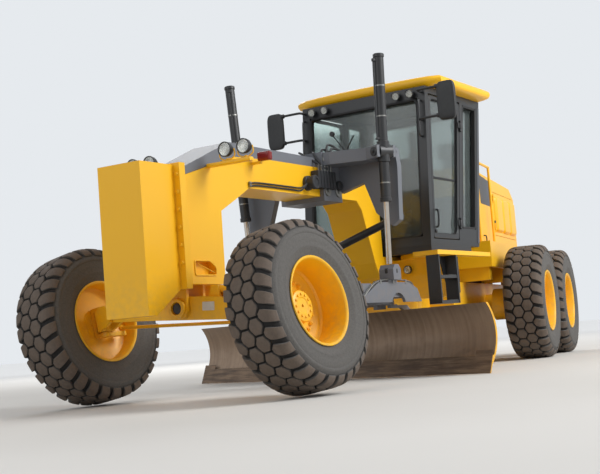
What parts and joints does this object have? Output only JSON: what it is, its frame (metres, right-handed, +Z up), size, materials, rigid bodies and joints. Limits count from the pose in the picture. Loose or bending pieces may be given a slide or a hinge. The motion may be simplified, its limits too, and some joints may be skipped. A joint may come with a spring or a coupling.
{
  "type": "motor grader",
  "caption": "Articulated six-wheel motor grader with enclosed cab, leaning front wheels, front push block and a long curved blade under an arched frame.",
  "frame": {"origin": "on the ground below the middle of the whole machine's box as stored", "axes": "+X forward along the front frame, +Y to the machine's left, +Z up"},
  "size_m": [8.5193, 4.1613, 3.085],
  "materials": {
    "yellow_paint": "gloss",
    "grey_paint": "satin",
    "black_paint": "satin",
    "rubber": "matte",
    "steel": "polished",
    "glass": "clear",
    "seat_fabric": "woven",
    "plastic": "textured",
    "dark_metal": "matte",
    "lamp_red": "gloss"
  },
  "bodies": {
    "front_frame": {"push_block": "yellow_paint", "front_frame": "yellow_paint", "gooseneck_cover": "grey_paint", "front_lamps": "black_paint", "saddle": "grey_paint", "cab_floor": "black_paint", "cab_shell": "black_paint", "cab_roof": "yellow_paint", "cab_glass": "glass", "seat": "seat_fabric", "controls": "plastic", "mirrors": "black_paint", "platforms": "yellow_paint"},
    "rear_frame": {"rear_frame": "yellow_paint", "hood": "yellow_paint", "engine": "dark_metal", "rear_deck": "yellow_paint", "exhaust": "dark_metal", "rear_grille": "black_paint", "rear_lamps": "lamp_red"},
    "cab_door_left": {"cab_door_left": "black_paint"},
    "cab_door_right": {"cab_door_right": "black_paint"},
    "hood_door_left": {"hood_door_left": "yellow_paint"},
    "hood_door_right": {"hood_door_right": "yellow_paint"},
    "axle_beam": {"axle_beam": "yellow_paint"},
    "lean_knuckle_left": {"lean_knuckle_left": "yellow_paint"},
    "lean_knuckle_right": {"lean_knuckle_right": "yellow_paint"},
    "spindle_left": {"spindle_left": "yellow_paint"},
    "spindle_right": {"spindle_right": "yellow_paint"},
    "lean_bar": {"lean_bar": "yellow_paint"},
    "tie_rod_end": {"tie_rod_end": "black_paint"},
    "tie_rod": {"tie_rod": "yellow_paint"},
    "lean_barrel": {"lean_barrel": "yellow_paint"},
    "lean_rod": {"lean_rod": "steel"},
    "drawbar_swivel": {"drawbar_swivel": "black_paint"},
    "drawbar": {"drawbar": "grey_paint"},
    "circle_ring": {"circle_ring": "grey_paint"},
    "blade_carrier": {"blade_carrier": "grey_paint"},
    "moldboard": {"moldboard": "yellow_paint"},
    "lift_barrel_left": {"lift_barrel_left": "black_paint"},
    "lift_barrel_right": {"lift_barrel_right": "black_paint"},
    "lift_rod_left": {"lift_rod_left": "steel"},
    "lift_rod_right": {"lift_rod_right": "steel"},
    "shift_barrel": {"shift_barrel": "black_paint"},
    "shift_rod": {"shift_rod": "steel"},
    "tandem_left": {"tandem_left": "yellow_paint"},
    "tandem_right": {"tandem_right": "yellow_paint"},
    "wheel_front_left": {"wheel_front_left": "rubber"},
    "wheel_front_right": {"wheel_front_right": "rubber"},
    "wheel_rear_left_1": {"wheel_rear_left_1": "rubber"},
    "wheel_rear_left_2": {"wheel_rear_left_2": "rubber"},
    "wheel_rear_right_1": {"wheel_rear_right_1": "rubber"},
    "wheel_rear_right_2": {"wheel_rear_right_2": "rubber"}
  },
  "joints": [
    {"name": "articulation", "type": "hinge", "parent": "front_frame", "child": "rear_frame", "pos_m": [-0.551, 0.357, 0], "axis": [0, 0, 1], "range_deg": [-33, 11]},
    {"name": "axle_oscillation", "type": "hinge", "parent": "front_frame", "child": "axle_beam", "pos_m": [3.509, 0.357, 0.75893], "axis": [1, 0, 0], "range_deg": [-12.88, 19.12]},
    {"name": "wheel_lean_left", "type": "hinge", "parent": "axle_beam", "child": "lean_knuckle_left", "pos_m": [3.509, 1.18251, 0.65387], "axis": [1, 0, 0], "range_deg": [-33.12, 6.88]},
    {"name": "wheel_lean_right", "type": "hinge", "parent": "axle_beam", "child": "lean_knuckle_right", "pos_m": [3.509, -0.47503, 0.74416], "axis": [1, 0, 0], "range_deg": [-33.62, 7.38]},
    {"name": "lean_bar_swing", "type": "hinge", "parent": "lean_knuckle_left", "child": "lean_bar", "pos_m": [3.509, 1.16948, 0.72773], "axis": [1, 0, 0], "range_deg": [-7.88, 34.12]},
    {"name": "lean_cylinder_swing", "type": "hinge", "parent": "axle_beam", "child": "lean_barrel", "pos_m": [3.509, 0.67969, 0.89157], "axis": [1, 0, 0], "range_deg": [-6, 6]},
    {"name": "lean_cylinder_stroke", "type": "slide", "parent": "lean_barrel", "child": "lean_rod", "axis": [0, 0.9952, -0.0981], "range_m": [-0.0276, 0.1178]},
    {"name": "steer_left", "type": "hinge", "parent": "lean_knuckle_left", "child": "spindle_left", "pos_m": [3.509, 1.27867, 0.65559], "axis": [0, -0.1736, 0.9848], "range_deg": [-36, 44]},
    {"name": "steer_right", "type": "hinge", "parent": "lean_knuckle_right", "child": "spindle_right", "pos_m": [3.509, -0.56599, 0.7129], "axis": [0, -0.1736, 0.9848], "range_deg": [-36.5, 44.5]},
    {"name": "tie_rod_pivot", "type": "hinge", "parent": "spindle_left", "child": "tie_rod_end", "pos_m": [3.30949, 1.29241, 0.65801], "axis": [0, -0.1736, 0.9848], "range_deg": [-45, 37]},
    {"name": "tie_rod_tilt", "type": "hinge", "parent": "tie_rod_end", "child": "tie_rod", "pos_m": [3.30949, 1.303, 0.59794], "axis": [1, 0, 0], "range_deg": [-8.88, 35.12]},
    {"name": "front_wheel_left", "type": "hinge", "parent": "spindle_left", "child": "wheel_front_left", "pos_m": [3.52051, 1.44077, 0.68417], "axis": [0.0698, 0.9824, 0.1732], "continuous": true},
    {"name": "front_wheel_right", "type": "hinge", "parent": "spindle_right", "child": "wheel_front_right", "pos_m": [3.49749, -0.72808, 0.68431], "axis": [0.0698, 0.9824, 0.1732], "continuous": true},
    {"name": "drawbar_swing", "type": "hinge", "parent": "front_frame", "child": "drawbar_swivel", "pos_m": [3.049, 0.357, 0], "axis": [0, 0, -1], "range_deg": [-10, 10]},
    {"name": "drawbar_lift", "type": "hinge", "parent": "drawbar_swivel", "child": "drawbar", "pos_m": [3.049, 0.357, 0.83], "axis": [0, 1, 0], "range_deg": [-19, 11]},
    {"name": "circle_turn", "type": "hinge", "parent": "drawbar", "child": "circle_ring", "pos_m": [1.309, 0.357, 0], "axis": [0, 0, 1], "range_deg": [-30, 28]},
    {"name": "blade_pitch", "type": "hinge", "parent": "circle_ring", "child": "blade_carrier", "pos_m": [0.7034, 0.53065, 0.33], "axis": [0.2756, 0.9613, 0], "range_deg": [-5, 40]},
    {"name": "blade_side_shift", "type": "slide", "parent": "blade_carrier", "child": "moldboard", "axis": [0.2756, 0.9613, 0], "range_m": [-0.183, 1.183]},
    {"name": "lift_barrel_swing_left", "type": "hinge", "parent": "front_frame", "child": "lift_barrel_left", "pos_m": [1.42873, 1.18488, 2.13], "axis": [0.9034, -0.4289, 0], "range_deg": [-20, 20]},
    {"name": "lift_stroke_left", "type": "slide", "parent": "lift_barrel_left", "child": "lift_rod_left", "axis": [0.0215, 0.0452, 0.9987], "range_m": [-0.56, 0.33]},
    {"name": "lift_barrel_swing_right", "type": "hinge", "parent": "front_frame", "child": "lift_barrel_right", "pos_m": [1.42873, -0.47088, 2.13], "axis": [0.9034, 0.4289, 0], "range_deg": [-20, 20]},
    {"name": "lift_stroke_right", "type": "slide", "parent": "lift_barrel_right", "child": "lift_rod_right", "axis": [0.0215, -0.0452, 0.9987], "range_m": [-0.56, 0.33]},
    {"name": "shift_cylinder_swing", "type": "hinge", "parent": "front_frame", "child": "shift_barrel", "pos_m": [1.151, 1.147, 1.53], "axis": [1, 0, 0], "range_deg": [-15, 25]},
    {"name": "shift_cylinder_stroke", "type": "slide", "parent": "shift_barrel", "child": "shift_rod", "axis": [0, -0.9528, -0.3035], "range_m": [-0.33, 0.33]},
    {"name": "tandem_left_swing", "type": "hinge", "parent": "rear_frame", "child": "tandem_left", "pos_m": [-2.75266, 0.6778, 0.665], "axis": [-0.1908, 0.9816, 0], "range_deg": [-15, 15]},
    {"name": "rear_wheel_left_1", "type": "hinge", "parent": "tandem_left", "child": "wheel_rear_left_1", "pos_m": [-2.06359, 1.16829, 0.665], "axis": [-0.1908, 0.9816, 0], "continuous": true},
    {"name": "rear_wheel_left_2", "type": "hinge", "parent": "tandem_left", "child": "wheel_rear_left_2", "pos_m": [-3.5753, 0.87444, 0.665], "axis": [-0.1908, 0.9816, 0], "continuous": true},
    {"name": "tandem_right_swing", "type": "hinge", "parent": "rear_frame", "child": "tandem_right", "pos_m": [-2.47217, -0.76519, 0.665], "axis": [-0.1908, 0.9816, 0], "range_deg": [-15, 15]},
    {"name": "rear_wheel_right_1", "type": "hinge", "parent": "tandem_right", "child": "wheel_rear_right_1", "pos_m": [-1.64954, -0.96184, 0.665], "axis": [-0.1908, 0.9816, 0], "continuous": true},
    {"name": "rear_wheel_right_2", "type": "hinge", "parent": "tandem_right", "child": "wheel_rear_right_2", "pos_m": [-3.16124, -1.25569, 0.665], "axis": [-0.1908, 0.9816, 0], "continuous": true},
    {"name": "cab_door_left", "type": "hinge", "parent": "front_frame", "child": "cab_door_left", "pos_m": [-0.29, 1.121, 1.35], "axis": [-0.1961, 0, 0.9806], "range_deg": [0, 80]},
    {"name": "hood_door_left", "type": "hinge", "parent": "rear_frame", "child": "hood_door_left", "pos_m": [-2.70525, 0.523, 1.55], "axis": [0, 0, -1], "range_deg": [0, 80]},
    {"name": "cab_door_right", "type": "hinge", "parent": "front_frame", "child": "cab_door_right", "pos_m": [-0.29, -0.407, 1.35], "axis": [0.1961, 0, -0.9806], "range_deg": [0, 80]},
    {"name": "hood_door_right", "type": "hinge", "parent": "rear_frame", "child": "hood_door_right", "pos_m": [-2.4862, -0.60391, 1.55], "axis": [0, 0, 1], "range_deg": [0, 80]}
  ],
  "couplings": [
    {"joint": "wheel_lean_right", "follows": "wheel_lean_left", "ratio": 1},
    {"joint": "lean_bar_swing", "follows": "wheel_lean_left", "ratio": -1},
    {"joint": "lean_cylinder_swing", "follows": "wheel_lean_left", "ratio": -0.05906},
    {"joint": "lean_cylinder_stroke", "follows": "wheel_lean_left", "m_per_rad": -0.19684},
    {"joint": "steer_right", "follows": "steer_left", "ratio": 1},
    {"joint": "tie_rod_pivot", "follows": "steer_left", "ratio": -1},
    {"joint": "tie_rod_tilt", "follows": "wheel_lean_left", "ratio": -0.89806},
    {"joint": "lift_barrel_swing_left", "follows": "drawbar_swing", "ratio": 1.73},
    {"joint": "lift_stroke_left", "follows": "drawbar_lift", "m_per_rad": 1.64},
    {"joint": "lift_barrel_swing_right", "follows": "drawbar_swing", "ratio": 1.73},
    {"joint": "lift_stroke_right", "follows": "drawbar_lift", "m_per_rad": 1.64},
    {"joint": "shift_cylinder_swing", "follows": "drawbar_lift", "ratio": -1.15},
    {"joint": "shift_cylinder_stroke", "follows": "drawbar_swing", "m_per_rad": -1.793}
  ]
}
